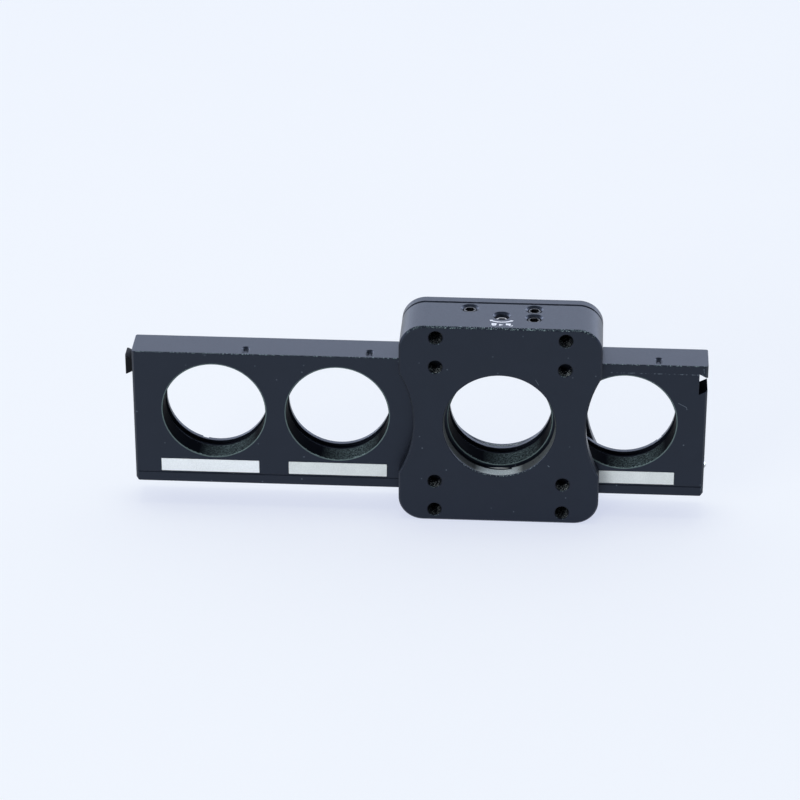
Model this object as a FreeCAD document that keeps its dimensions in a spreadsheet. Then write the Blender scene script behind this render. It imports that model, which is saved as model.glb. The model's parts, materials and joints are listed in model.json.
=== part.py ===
import FreeCAD, Part
import Sketcher
import math
import os

# Cage filter mount: a black anodised housing whose channel carries a sliding row of two linked
# filter modules. The origin is the optical axis at the housing's front face, +X runs along the
# slider, +Y into the depth and +Z up. Lengths are in millimetres.

doc = FreeCAD.newDocument("cage_filter_mount")
sheet = doc.addObject("Spreadsheet::Sheet", "dims")

SIZES = [
    # housing and cover
    ("housing_width", 47.0, "across the housing, along the slider"),
    ("housing_height", 50.8, "two inches"),
    ("front_wall", 3.7, "wall in front of the channel"),
    ("cover_thickness", 3.0, "rear cover plate"),
    ("corner_radius", 5.8, "rounded corners of the outline"),
    ("edge_bevel", 0.4, "bevel round the front and rear faces"),
    ("seam_bevel", 0.12, "small bevel on both sides of the seam"),
    ("waist_depth", 3.4, "how far each finger waist cuts in"),
    ("waist_half_chord", 13.1, "half the height of a finger waist"),
    ("aperture_radius", 13.15, "1.035 inch lens tube thread"),
    ("aperture_bevel", 0.15, "lead-in of the aperture thread"),
    # hole patterns
    ("cage_pitch", 30.0, "square of the cage holes"),
    ("tie_margin", 2.9, "outer holes from the top and bottom edges"),
    ("tapped_radius", 1.65, "core of an M4 thread"),
    ("hole_bevel", 0.12, "lead-in of the holes"),
    ("top_hole_bevel", 0.5, "lead-in of the holes in the top"),
    ("thread_play", 0.03, "radial play of a piece in its thread or seat"),
    ("post_hole_web", 1.15, "wall between the post hole and the channel"),
    # running gaps of the slider in its channel
    ("front_gap", 0.2, "slider to front wall"),
    ("rear_gap", 0.3, "slider to rear cover"),
    ("roof_gap", 0.15, "slider to channel roof"),
    ("floor_gap", 0.1, "slider to channel floor"),
    # filter module
    ("module_thickness", 9.0, "depth of a module"),
    ("seat_radius", 12.9, "threaded pocket for a filter and its ring"),
    ("seat_ledge", 0.85, "ledge in front of the filter"),
    ("seat_web", 3.2, "wall between the two filter seats"),
    ("top_rim", 2.15, "module above its filter seats"),
    ("bottom_rim", 6.25, "module below its filter seats"),
    ("end_rim", 6.1, "module beside its filter seats"),
    ("module_gap", 0.1, "between the linked modules"),
    ("module_corner", 0.8, "lower corners of a module"),
    ("module_bevel", 0.15, "long edges of a module"),
    ("end_bevel", 0.5, "upright end edges of a module"),
    ("clear_depth", 5.2, "front bore, up to the filter seat"),
    ("bore_bevel", 0.2, "lead-in of a filter hole"),
    ("scribe_height", 2.35, "scribed line above the module bottom"),
    ("scribe_width", 0.35, "scribed line"),
    ("scribe_depth", 0.15, "scribed line"),
    # retaining ring
    ("ring_thickness", 1.1, "retaining ring"),
    ("ring_inset", 0.05, "ring below the module's rear face"),
    ("spanner_width", 1.4, "spanner slot"),
    ("spanner_depth", 0.4, "spanner slot"),
    # detent
    ("detent_offset", 7.5, "from a filter hole to its notch"),
    ("notch_width", 1.8, "detent notch, along the module"),
    ("notch_length", 3.5, "detent notch, across the module top"),
    ("notch_depth", 0.65, "detent notch"),
    ("notch_setback", 0.6, "detent notch behind the module's front face"),
    ("plunger_setback", 1.9, "plunger axis behind the modules' front"),
    ("plunger_recess", 0.5, "plunger below the housing top"),
    ("plunger_clear", 0.05, "plunger sleeve above the channel roof"),
    ("ball_radius", 1.0, "balls of the detent and the catches"),
    ("ball_rise", 0.02, "lifted ball above the module top"),
    ("ball_play", 0.05, "ball in its sleeve"),
    ("lip_catch", 0.03, "how far a sleeve's lip reaches over the ball"),
    ("lip_length", 0.1, "sleeve lip"),
    ("spring_wire", 0.14, "wire radius of the springs"),
    ("spring_play", 0.17, "springs in their bores"),
    ("spring_pitch", 0.65, "between the turns of a spring"),
    ("sleeve_web", 1.2, "sleeve behind its spring"),
    # screws in the housing top
    ("guide_offset", 7.5, "guide screws from the optical axis"),
    ("guide_margin", 2.9, "guide screws in front of the seam"),
    ("guide_stand", 2.0, "guide screws above the modules"),
    ("guide_recess", 0.35, "guide screw below the housing top"),
    ("lock_setback", 2.8, "lock screw behind the modules' front"),
    ("lock_recess", 1.15, "lock screw below the housing top"),
    ("lock_stand", 2.2, "lock screw above the modules"),
    ("lock_lift", 0.35, "open gap under the lock pad"),
    ("tip_wall", 0.42, "screw tip round its pad"),
    ("pad_gap", 0.05, "guide pads to the module top"),
    ("pad_depth", 1.0, "pad inside its screw"),
    ("pad_bevel", 0.2, "pad tip"),
    ("hex_flat", 2.0, "hexagon socket across flats"),
    ("hex_depth", 2.2, "hexagon socket"),
    ("screw_bevel", 0.25, "bevels on the ends of a screw"),
    # cover screws
    ("cover_screw_radius", 1.25, "M2.5 screw"),
    ("cover_head_radius", 2.2, "countersunk head"),
    ("cover_screw_length", 8.0, "cover screw with its head"),
    ("cover_hex_flat", 1.5, "hexagon socket across flats"),
    ("cover_hex_depth", 0.9, "hexagon socket"),
    ("head_inset", 0.05, "countersunk heads below their surface"),
    ("shank_play", 0.1, "screw shank in its clearance hole"),
    ("blind_room", 0.5, "blind holes past their screws"),
    ("cover_side_margin", 4.0, "upper cover screws from the sides"),
    ("cover_roof_margin", 3.8, "upper cover screws above the channel"),
    ("cover_lower_across", 8.0, "lower cover screws from the optical axis"),
    # dovetail link between the modules
    ("link_drop", 4.75, "link below the module top"),
    ("link_depth", 6.6, "dovetail notch, into the module's thickness"),
    ("link_reach", 2.0, "dovetail notch, along the module"),
    ("link_mouth", 3.2, "notch height at the module end"),
    ("link_root", 5.3, "notch height at its root"),
    ("link_play", 0.13, "tongue in its notch, on each side"),
    ("tongue_width", 4.5, "tongue, into the module's thickness"),
    ("tongue_round", 0.5, "rounded upright edges of the tongue's face"),
    ("tenon_length", 1.0, "tongue let into its module"),
    ("relief_margin", 1.0, "relief above and below the notch"),
    ("relief_step", 0.6, "relief past the notch's root"),
    ("link_screw_radius", 0.8, "M2 screw of the tongue"),
    ("link_head_radius", 1.6, "countersunk head"),
    ("link_screw_length", 6.5, "screw with its head"),
    ("link_hex_flat", 1.1, "hexagon socket across flats"),
    ("link_hex_depth", 0.7, "hexagon socket"),
    # ball catch in the module end
    ("catch_rise", 6.05, "ball catch above the module bottom"),
    ("catch_reach", 0.6, "ball out of the module end"),
    ("catch_sleeve_radius", 1.6, "sleeve of the catch"),
    ("catch_sleeve_length", 6.0, "sleeve of the catch"),
    ("dimple_radius", 1.15, "dimple that takes the next module's ball"),
    ("dimple_depth", 0.7, "dimple that takes the next module's ball"),
    # labels
    ("label_width", 23.2, "label strip"),
    ("label_height", 3.2, "label strip"),
    ("label_thickness", 0.1, "label strip"),
    ("label_gap", 0.95, "label below its filter hole"),
    ("label_round", 0.15, "label corners"),
]

for row, (alias, number, note) in enumerate(SIZES, start=1):
    sheet.set(f"A{row}", alias)
    sheet.set(f"B{row}", str(number))
    sheet.setAlias(f"B{row}", alias)
    sheet.set(f"C{row}", note)
doc.recompute()

# Places and sizes that follow from the driving ones
HALF_WIDTH = "(dims.housing_width / 2)"
HALF_HEIGHT = "(dims.housing_height / 2)"
MODULE_FRONT = "(dims.front_wall + dims.front_gap)"
SEAM = f"({MODULE_FRONT} + dims.module_thickness + dims.rear_gap)"
DEPTH = f"({SEAM} + dims.cover_thickness)"
MODULE_TOP = "(dims.seat_radius + dims.top_rim)"
MODULE_DROP = "(dims.seat_radius + dims.bottom_rim)"
CLEAR_RADIUS = "(dims.seat_radius - dims.seat_ledge)"
ROOF = f"({MODULE_TOP} + dims.roof_gap)"
FLOOR = f"(-{MODULE_DROP} - dims.floor_gap)"
FLOOR_WALL = f"({HALF_HEIGHT} + {FLOOR})"
HALF_CAGE = "(dims.cage_pitch / 2)"
TIE_HEIGHT = f"({HALF_HEIGHT} - dims.tie_margin)"
PLUNGER_DEPTH = f"({MODULE_FRONT} + dims.plunger_setback)"
LOCK_DEPTH = f"({MODULE_FRONT} + dims.lock_setback)"
GUIDE_DEPTH = f"({SEAM} - dims.guide_margin)"
WAIST_RADIUS = "((dims.waist_half_chord^2 + dims.waist_depth^2) / (2 * dims.waist_depth))"
WAIST_CENTRE = f"({HALF_WIDTH} - dims.waist_depth + {WAIST_RADIUS})"
SCREW_CORE = "(dims.tapped_radius - dims.thread_play)"
COVER_CORE = "(dims.cover_screw_radius - dims.thread_play)"
LINK_CORE = "(dims.link_screw_radius - dims.thread_play)"
PAD_RADIUS = f"({SCREW_CORE} - dims.tip_wall)"
HALF_PITCH = "(dims.seat_radius + dims.seat_web / 2)"
HALF_MODULE = f"({HALF_PITCH} + dims.seat_radius + dims.end_rim)"
MODULE_MIDDLE = "(dims.module_thickness / 2)"
RIGHT_PLACE = HALF_PITCH
LEFT_PLACE = f"({HALF_PITCH} - 2 * {HALF_MODULE} - dims.module_gap)"
SLEEVE_BORE = "(dims.ball_radius + dims.ball_play)"
LIP_RADIUS = "(dims.ball_radius - dims.lip_catch)"
BALL_CENTRE = f"({MODULE_TOP} + dims.ball_radius + dims.ball_rise)"
SLEEVE_MOUTH = f"({ROOF} + dims.plunger_clear)"
LINK_HEIGHT = f"({MODULE_TOP} - dims.link_drop)"
CATCH_HEIGHT = f"(dims.catch_rise - {MODULE_DROP})"
CATCH_CENTRE = f"({HALF_MODULE} + dims.catch_reach - dims.ball_radius)"
TONGUE_REACH = "(dims.link_reach - dims.link_play)"
TONGUE_NECK = "(dims.link_mouth / 2 - dims.link_play)"
TONGUE_TIP = (f"({TONGUE_NECK} + (dims.link_root - dims.link_mouth) / 2"
              f" * {TONGUE_REACH} / dims.link_reach)")
TONGUE_SETBACK = "((dims.module_thickness - dims.tongue_width) / 2)"

AXES = {"X": "YZ_Plane", "Y": "XZ_Plane", "Z": "XY_Plane"}
COS_30 = math.cos(math.radians(30))
CHORDS_PER_TURN = 10
SINK_ANGLE = -45


def size(expression):
    """The present value of an expression on the sheet."""
    return float(sheet.evalExpression(expression))


def new_body(name):
    body = doc.addObject("PartDesign::Body", name)
    body.Label = name
    return body


def place(piece, along="0", depth="0", up="0", turn=None):
    """Put a piece at a place given by three expressions, after an optional fixed turn."""
    if turn:
        piece.Placement = FreeCAD.Placement(FreeCAD.Vector(), turn)
    piece.setExpression("Placement.Base.x", along)
    piece.setExpression("Placement.Base.y", depth)
    piece.setExpression("Placement.Base.z", up)
    return piece


def sketch_across(body, axis, at="0"):
    """A sketch square to an axis of the body, at a place along that axis."""
    sketch = body.newObject("Sketcher::SketchObject", f"{body.Name}_sketch")
    plane = next(item for item in body.Origin.OriginFeatures if item.Role == AXES[axis])
    sketch.AttachmentSupport = (plane, [""])
    sketch.MapMode = "FlatFace"
    # the plane square to Y looks towards -Y
    sketch.setExpression("AttachmentOffset.Base.z", f"-({at})" if axis == "Y" else at)
    return sketch


def tie_point(sketch, curve, point, across=None, up=None):
    """Tie a point of a curve to the sketch's origin by expressions."""
    for kind, expression in (("DistanceX", across), ("DistanceY", up)):
        if expression:
            rule = Sketcher.Constraint(kind, -1, 1, curve, point, size(expression))
            sketch.setExpression(f"Constraints[{sketch.addConstraint(rule)}]", expression)


def draw_circle(sketch, across, up, radius):
    middle = FreeCAD.Vector(size(across), size(up), 0)
    shape = Part.Circle(middle, FreeCAD.Vector(0, 0, 1), size(radius))
    curve = sketch.addGeometry(shape, False)
    tie_point(sketch, curve, 3, across, up)
    rule = Sketcher.Constraint("Radius", curve, size(radius))
    sketch.setExpression(f"Constraints[{sketch.addConstraint(rule)}]", radius)


def close_loop(sketch, curves):
    """Join the end of each curve to the start of the next."""
    for number, curve in enumerate(curves):
        following = curves[(number + 1) % len(curves)]
        sketch.addConstraint(Sketcher.Constraint("Coincident", curve, 2, following, 1))


def draw_polygon(sketch, points):
    """A closed outline through corners whose places are expressions."""
    corners = [FreeCAD.Vector(size(across), size(up), 0) for across, up in points]
    sides = []
    for number, corner in enumerate(corners):
        line = Part.LineSegment(corner, corners[(number + 1) % len(corners)])
        sides.append(sketch.addGeometry(line, False))
    close_loop(sketch, sides)
    for side, (across, up) in zip(sides, points):
        tie_point(sketch, side, 1, across, up)


def draw_slot(sketch, across, near, far, radius):
    """A slot with round ends, its middle line at one place across and reaching from near to far."""
    middle, right, left = size(across), f"({across} + {radius})", f"({across} - {radius})"
    curves = []
    for side, start, end, turn in ((right, near, far, 0), (left, far, near, math.pi)):
        first = FreeCAD.Vector(size(side), size(start), 0)
        second = FreeCAD.Vector(size(side), size(end), 0)
        line = sketch.addGeometry(Part.LineSegment(first, second), False)
        centre = FreeCAD.Vector(middle, size(end), 0)
        circle = Part.Circle(centre, FreeCAD.Vector(0, 0, 1), size(radius))
        bow = sketch.addGeometry(Part.ArcOfCircle(circle, turn, turn + math.pi), False)
        tie_point(sketch, line, 1, side, start)
        tie_point(sketch, line, 2, side, end)
        tie_point(sketch, bow, 3, up=end)
        curves += [line, bow]
    close_loop(sketch, curves)


def draw_rectangle(sketch, left, right, bottom, top):
    draw_polygon(sketch, [(left, bottom), (right, bottom), (right, top), (left, top)])


def draw_hexagon(sketch, flat):
    """A hexagon about the sketch's origin, given across its flats."""
    corner = f"({flat} / 2 / {COS_30})"
    points = []
    for step in range(6):
        angle = math.radians(60 * step)
        points.append((f"{corner} * {math.cos(angle):.6f}", f"{corner} * {math.sin(angle):.6f}"))
    draw_polygon(sketch, points)


def add_pad(body, sketch, axis, length):
    """Grow a sketch towards the plus side of its axis."""
    pad = body.newObject("PartDesign::Pad", f"{body.Name}_pad")
    pad.Profile = sketch
    pad.setExpression("Length", length)
    pad.Reversed = axis == "Y"
    doc.recompute()


def add_pocket(body, sketch, axis, length, side=1, taper=0):
    """Cut a sketch into the body towards the plus (1) or minus (-1) side of its axis."""
    before = body.Shape.Volume
    pocket = body.newObject("PartDesign::Pocket", f"{body.Name}_pocket")
    pocket.Profile = sketch
    pocket.setExpression("Length", length)
    pocket.Reversed = (side > 0) != (axis == "Y")
    pocket.TaperAngle = taper
    doc.recompute()
    if body.Shape.Volume >= before:
        raise RuntimeError(f"{pocket.Name} cuts nothing")


def drill(body, axis, face, places, radius, length, side=1, lead_in=None):
    """Round holes of one radius from a face inwards, with conical lead-ins where asked."""
    holes = sketch_across(body, axis, face)
    for across, up in places:
        draw_circle(holes, across, up, radius)
    add_pocket(body, holes, axis, length, side)
    if lead_in:
        sinks = sketch_across(body, axis, face)
        for across, up in places:
            draw_circle(sinks, across, up, f"({radius} + {lead_in})")
        add_pocket(body, sinks, axis, lead_in, side, SINK_ANGLE)


def add_revolution(body, points):
    """Turn an outline of radius and height about the body's Z axis."""
    sketch = sketch_across(body, "Y")
    draw_polygon(sketch, points)
    turned = body.newObject("PartDesign::Revolution", f"{body.Name}_revolution")
    turned.Profile = sketch
    turned.ReferenceAxis = (sketch, ["V_Axis"])
    turned.Angle = 360
    doc.recompute()


def edge_names(shape, chosen):
    return [f"Edge{number}" for number, edge in enumerate(shape.Edges, start=1) if chosen(edge)]


def dress(body, kind, chosen, amount):
    """Chamfer or fillet the edges of the body that a test chooses."""
    base = body.Tip
    names = edge_names(base.Shape, chosen)
    if not names:
        raise RuntimeError(f"{body.Name} has no edge for {amount}")
    feature = body.newObject(f"PartDesign::{kind}", f"{body.Name}_{kind.lower()}")
    feature.Base = (base, names)
    feature.setExpression("Size" if kind == "Chamfer" else "Radius", amount)
    doc.recompute()


def at_level(edge, axis, level, slack=1e-4):
    """Whether a whole edge lies at one level of an axis."""
    ends = [getattr(vertex.Point, axis.lower()) for vertex in edge.Vertexes]
    ends.append(getattr(edge.CenterOfMass, axis.lower()))
    return all(abs(end - level) < slack for end in ends)


def runs_along(edge, axis):
    """Whether an edge is a straight line along an axis."""
    if not isinstance(edge.Curve, Part.Line):
        return False
    return abs(getattr(edge.Curve.Direction, axis.lower())) > 0.999


def both_signs(value):
    return (value, f"-{value}")


def tapped_places(height):
    """Places of four tapped holes, a cage wide and reaching up and down to a height."""
    return [(across, up) for across in both_signs(HALF_CAGE) for up in both_signs(height)]


def cover_screw_places():
    """Two screws above the channel and two in the middle of the wall below it."""
    upper_across = f"({HALF_WIDTH} - dims.cover_side_margin)"
    upper_height = f"({ROOF} + dims.cover_roof_margin)"
    lower_height = f"({FLOOR} - {FLOOR_WALL} / 2)"
    upper = [(across, upper_height) for across in both_signs(upper_across)]
    lower = [(across, lower_height) for across in both_signs("dims.cover_lower_across")]
    return upper + lower


def add_outline(body, start, length, front_bevel, rear_bevel):
    """The plate outline that housing and cover share: round corners and two finger waists."""
    sketch = sketch_across(body, "Y", start)
    draw_rectangle(sketch, f"-{HALF_WIDTH}", HALF_WIDTH, f"-{HALF_HEIGHT}", HALF_HEIGHT)
    add_pad(body, sketch, "Y", length)
    dress(body, "Fillet", lambda edge: runs_along(edge, "Y"), "dims.corner_radius")
    sketch = sketch_across(body, "Y", start)
    for across in both_signs(WAIST_CENTRE):
        draw_circle(sketch, across, "0", WAIST_RADIUS)
    add_pocket(body, sketch, "Y", length)
    front = size(start)
    dress(body, "Chamfer", lambda edge: at_level(edge, "Y", front), front_bevel)
    rear = front + size(length)
    dress(body, "Chamfer", lambda edge: at_level(edge, "Y", rear), rear_bevel)


def make_housing():
    body = new_body("housing_body")
    add_outline(body, "0", SEAM, "dims.edge_bevel", "dims.seam_bevel")

    channel = sketch_across(body, "Y", "dims.front_wall")
    draw_rectangle(channel, "-dims.housing_width", "dims.housing_width", FLOOR, ROOF)
    add_pocket(body, channel, "Y", f"{SEAM} - dims.front_wall")

    drill(body, "Y", "0", [("0", "0")], "dims.aperture_radius", "dims.front_wall",
          lead_in="dims.aperture_bevel")
    drill(body, "Y", "0", tapped_places(HALF_CAGE), "dims.tapped_radius", "dims.front_wall",
          lead_in="dims.hole_bevel")
    drill(body, "Y", "0", tapped_places(TIE_HEIGHT), "dims.tapped_radius", SEAM,
          lead_in="dims.hole_bevel")

    top_places = [(across, GUIDE_DEPTH) for across in both_signs("dims.guide_offset")]
    top_places += [("dims.detent_offset", PLUNGER_DEPTH), ("0", LOCK_DEPTH)]
    drill(body, "Z", HALF_HEIGHT, top_places, "dims.tapped_radius", f"{HALF_HEIGHT} - {ROOF}",
          side=-1, lead_in="dims.top_hole_bevel")
    drill(body, "Z", f"-{HALF_HEIGHT}", [("0", f"{DEPTH} / 2")], "dims.tapped_radius",
          f"{FLOOR_WALL} - dims.post_hole_web", lead_in="dims.hole_bevel")
    drill(body, "Y", SEAM, cover_screw_places(), "dims.cover_screw_radius",
          "dims.cover_screw_length - dims.cover_thickness + dims.blind_room", side=-1)
    return body


def make_cover():
    body = new_body("rear_cover")
    add_outline(body, SEAM, "dims.cover_thickness", "dims.seam_bevel", "dims.edge_bevel")
    drill(body, "Y", DEPTH, [("0", "0")], "dims.aperture_radius", "dims.cover_thickness",
          side=-1, lead_in="dims.aperture_bevel")
    drill(body, "Y", DEPTH, tapped_places(HALF_CAGE) + tapped_places(TIE_HEIGHT),
          "dims.tapped_radius", "dims.cover_thickness", side=-1, lead_in="dims.hole_bevel")
    shank = "(dims.cover_screw_radius + dims.shank_play)"
    drill(body, "Y", DEPTH, cover_screw_places(), shank, "dims.cover_thickness", side=-1,
          lead_in=f"dims.cover_head_radius + dims.head_inset + dims.thread_play - {shank}")
    return body


def make_flat_head_screw(name, core, head, length, flat, hex_depth):
    """A countersunk screw, its head's top at the origin and its tip towards -Z."""
    body = new_body(name)
    bevel = f"({core} / 3)"
    add_revolution(body, [
        ("0", "0"), (head, "0"), (core, f"-({head} - {core})"), (core, f"-({length} - {bevel})"),
        (f"{core} - {bevel}", f"-{length}"), ("0", f"-{length}")])
    socket = sketch_across(body, "Z")
    draw_hexagon(socket, flat)
    add_pocket(body, socket, "Z", hex_depth, side=-1)
    return body


def make_set_screw(name, length):
    """A socket set screw with a recess for a pad in its tip, top at the origin, tip down."""
    body = new_body(name)
    recess = f"({PAD_RADIUS} + dims.thread_play)"
    step = "dims.screw_bevel"
    add_revolution(body, [
        ("0", "0"), (f"{SCREW_CORE} - {step}", "0"), (SCREW_CORE, f"-{step}"),
        (SCREW_CORE, f"-({length} - {step})"), (f"{SCREW_CORE} - {step}", f"-{length}"),
        (recess, f"-{length}"), (recess, f"-({length} - dims.pad_depth)"),
        ("0", f"-({length} - dims.pad_depth)")])
    socket = sketch_across(body, "Z")
    draw_hexagon(socket, "dims.hex_flat")
    add_pocket(body, socket, "Z", "dims.hex_depth", side=-1)
    return body


def make_pad(name, length):
    """A soft pad: a short cylinder, top at the origin, bevelled tip down."""
    body = new_body(name)
    add_revolution(body, [
        ("0", "0"), (PAD_RADIUS, "0"), (PAD_RADIUS, f"-({length} - dims.pad_bevel)"),
        (f"{PAD_RADIUS} - dims.pad_bevel", f"-{length}"), ("0", f"-{length}")])
    return body


def make_sleeve(name, outer, length, bore_depth, socket_flat=None):
    """A ball sleeve: a bore with a lip at its mouth. The mouth is at the origin and faces -Z."""
    body = new_body(name)
    step = "dims.screw_bevel"
    add_revolution(body, [
        (LIP_RADIUS, "0"), (f"{outer} - {step}", "0"), (outer, step), (outer, f"{length} - {step}"),
        (f"{outer} - {step}", length), ("0", length), ("0", bore_depth), (SLEEVE_BORE, bore_depth),
        (SLEEVE_BORE, "dims.lip_length"), (LIP_RADIUS, "dims.lip_length")])
    if socket_flat:
        socket = sketch_across(body, "Z", length)
        draw_hexagon(socket, socket_flat)
        add_pocket(body, socket, "Z", "dims.hex_depth", side=-1)
    return body


def make_ball(name):
    ball = doc.addObject("Part::Sphere", name)
    ball.Label = name
    ball.setExpression("Radius", "dims.ball_radius")
    return ball


def make_spring(name, room):
    """A coil spring from the origin up: a six-sided wire swept along a helix of short chords."""
    wire = size("dims.spring_wire")
    coil = size(f"{SLEEVE_BORE} - dims.spring_play") - wire
    rise = size(room) - 2 * wire - 2 * size("dims.ball_rise")
    turns = max(1, round(rise / size("dims.spring_pitch")))
    steps = CHORDS_PER_TURN * turns
    path = []
    for step in range(steps + 1):
        angle = 2 * math.pi * turns * step / steps
        height = wire + size("dims.ball_rise") + rise * step / steps
        path.append(FreeCAD.Vector(coil * math.cos(angle), coil * math.sin(angle), height))
    start = path[0]
    across = (path[1] - start).normalize()
    outward = FreeCAD.Vector(1, 0, 0)
    upward = across.cross(outward)
    outward = upward.cross(across)
    section = []
    for step in range(7):
        angle = math.radians(60 * step)
        section.append(start + outward * wire * math.cos(angle) + upward * wire * math.sin(angle))
    spring = doc.addObject("Part::Feature", name)
    spring.Label = name
    pipe = Part.makePolygon(path).makePipeShell([Part.makePolygon(section)], True, False, 1)
    spring.Shape = pipe
    return spring


def make_module(name):
    """A filter module about its own middle, front face at y = 0."""
    body = new_body(name)
    plate = sketch_across(body, "Y")
    draw_rectangle(plate, f"-{HALF_MODULE}", HALF_MODULE, f"-{MODULE_DROP}", MODULE_TOP)
    add_pad(body, plate, "Y", "dims.module_thickness")
    bottom = -size(MODULE_DROP)

    def lower_corner(edge):
        return runs_along(edge, "Y") and at_level(edge, "Z", bottom)
    dress(body, "Chamfer", lower_corner, "dims.module_corner")
    dress(body, "Chamfer", lambda edge: runs_along(edge, "Z"), "dims.end_bevel")
    dress(body, "Chamfer", lambda edge: runs_along(edge, "X"), "dims.module_bevel")

    centres = [(across, "0") for across in both_signs(HALF_PITCH)]
    drill(body, "Y", "0", centres, CLEAR_RADIUS, "dims.module_thickness",
          lead_in="dims.bore_bevel")
    drill(body, "Y", "dims.clear_depth", centres, "dims.seat_radius",
          "dims.module_thickness - dims.clear_depth")

    notches = sketch_across(body, "Z", MODULE_TOP)
    half_notch = "(dims.notch_width / 2)"
    for across in both_signs(HALF_PITCH):
        draw_slot(notches, f"({across} + dims.detent_offset)",
                  f"(dims.notch_setback + {half_notch})",
                  f"(dims.notch_setback + dims.notch_length - {half_notch})", half_notch)
    add_pocket(body, notches, "Z", "dims.notch_depth", side=-1, taper=SINK_ANGLE)

    scribe = sketch_across(body, "Y")
    line = f"(dims.scribe_height - {MODULE_DROP})"
    draw_rectangle(scribe, f"-{HALF_MODULE}", HALF_MODULE, line, f"{line} + dims.scribe_width")
    add_pocket(body, scribe, "Y", "dims.scribe_depth")

    add_link_notch(body)
    add_tongue_seat(body)
    add_catch_holes(body)
    return body


def add_link_notch(body):
    """The dovetail notch in the module's right end, and the relief behind it."""
    notch = sketch_across(body, "Y")
    low = f"({LINK_HEIGHT} - dims.link_mouth / 2)"
    high = f"({LINK_HEIGHT} + dims.link_mouth / 2)"
    deep_low = f"({LINK_HEIGHT} - dims.link_root / 2)"
    deep_high = f"({LINK_HEIGHT} + dims.link_root / 2)"
    root = f"({HALF_MODULE} - dims.link_reach)"
    draw_polygon(notch, [(HALF_MODULE, low), (HALF_MODULE, high), (root, deep_high), (root, deep_low)])
    add_pocket(body, notch, "Y", "dims.link_depth")
    relief = sketch_across(body, "Y", "dims.link_depth")
    draw_rectangle(relief, f"{root} - dims.relief_step", HALF_MODULE,
                   f"{deep_low} - dims.relief_margin", f"{deep_high} + dims.relief_margin")
    add_pocket(body, relief, "Y", "dims.module_thickness - dims.link_depth")


def add_tongue_seat(body):
    """The mortise and the screw hole that hold the tongue at the module's left end."""
    mortise = sketch_across(body, "X", f"-{HALF_MODULE}")
    play = "dims.thread_play"
    draw_rectangle(mortise, f"{TONGUE_SETBACK} - {play}",
                   f"dims.module_thickness - {TONGUE_SETBACK} + {play}",
                   f"{LINK_HEIGHT} - {TONGUE_NECK} - {play}",
                   f"{LINK_HEIGHT} + {TONGUE_NECK} + {play}")
    add_pocket(body, mortise, "X", "dims.tenon_length + dims.thread_play")
    drill(body, "X", f"-{HALF_MODULE}", [(MODULE_MIDDLE, LINK_HEIGHT)], "dims.link_screw_radius",
          f"dims.link_screw_length - {TONGUE_REACH} + dims.blind_room")


def add_catch_holes(body):
    """The bore for the ball catch at the right end and the dimple at the left end."""
    middle = [(MODULE_MIDDLE, CATCH_HEIGHT)]
    drill(body, "X", HALF_MODULE, middle, "(dims.catch_sleeve_radius + dims.thread_play)",
          "dims.catch_sleeve_length + dims.thread_play", side=-1)
    drill(body, "X", f"-{HALF_MODULE}", middle, "dims.dimple_radius", "dims.dimple_depth")


def make_tongue(name):
    """The dovetail tongue with its tenon, about the module end that carries it."""
    body = new_body(name)
    profile = sketch_across(body, "Y")
    draw_polygon(profile, [
        ("dims.tenon_length", f"-{TONGUE_NECK}"), ("dims.tenon_length", TONGUE_NECK),
        ("0", TONGUE_NECK), (f"-{TONGUE_REACH}", TONGUE_TIP),
        (f"-{TONGUE_REACH}", f"-{TONGUE_TIP}"), ("0", f"-{TONGUE_NECK}")])
    add_pad(body, profile, "Y", "dims.tongue_width")
    face = -size(TONGUE_REACH)

    def upright_edge(edge):
        return runs_along(edge, "Z") and at_level(edge, "X", face)
    dress(body, "Fillet", upright_edge, "dims.tongue_round")
    shank = "(dims.link_screw_radius + dims.shank_play)"
    drill(body, "X", f"-{TONGUE_REACH}", [("dims.tongue_width / 2", "0")], shank,
          f"{TONGUE_REACH} + dims.tenon_length",
          lead_in=f"dims.link_head_radius + dims.head_inset + dims.thread_play - {shank}")
    return body


def make_ring(name):
    """A retaining ring with two spanner slots in its rear face, front face at y = 0."""
    body = new_body(name)
    band = sketch_across(body, "Y")
    draw_circle(band, "0", "0", "dims.seat_radius - dims.thread_play")
    draw_circle(band, "0", "0", CLEAR_RADIUS)
    add_pad(body, band, "Y", "dims.ring_thickness")
    slots = sketch_across(body, "Y", "dims.ring_thickness")
    draw_rectangle(slots, "-dims.seat_radius", "dims.seat_radius",
                   "-dims.spanner_width / 2", "dims.spanner_width / 2")
    add_pocket(body, slots, "Y", "dims.spanner_depth", side=-1)
    return body


def make_label(name):
    """A label strip about its own middle, upper edge at z = 0 and back at y = 0."""
    body = new_body(name)
    strip = sketch_across(body, "Y", "-dims.label_thickness")
    draw_rectangle(strip, "-dims.label_width / 2", "dims.label_width / 2", "-dims.label_height", "0")
    add_pad(body, strip, "Y", "dims.label_thickness")
    dress(body, "Fillet", lambda edge: runs_along(edge, "Y"), "dims.label_round")
    return body


def group(name, members):
    """Equal small pieces that share one file."""
    bundle = doc.addObject("Part::Compound", name)
    bundle.Label = name
    bundle.Links = members
    return bundle


def make_cover_screws():
    head_face = f"{DEPTH} - dims.head_inset"
    backwards = FreeCAD.Rotation(FreeCAD.Vector(1, 0, 0), -90)
    screws = []
    for number, (across, up) in enumerate(cover_screw_places(), start=1):
        screw = make_flat_head_screw(f"cover_screw_{number}", COVER_CORE, "dims.cover_head_radius",
                                     "dims.cover_screw_length", "dims.cover_hex_flat",
                                     "dims.cover_hex_depth")
        screws.append(place(screw, across, head_face, up, backwards))
    return group("cover_screws", screws)


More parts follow.
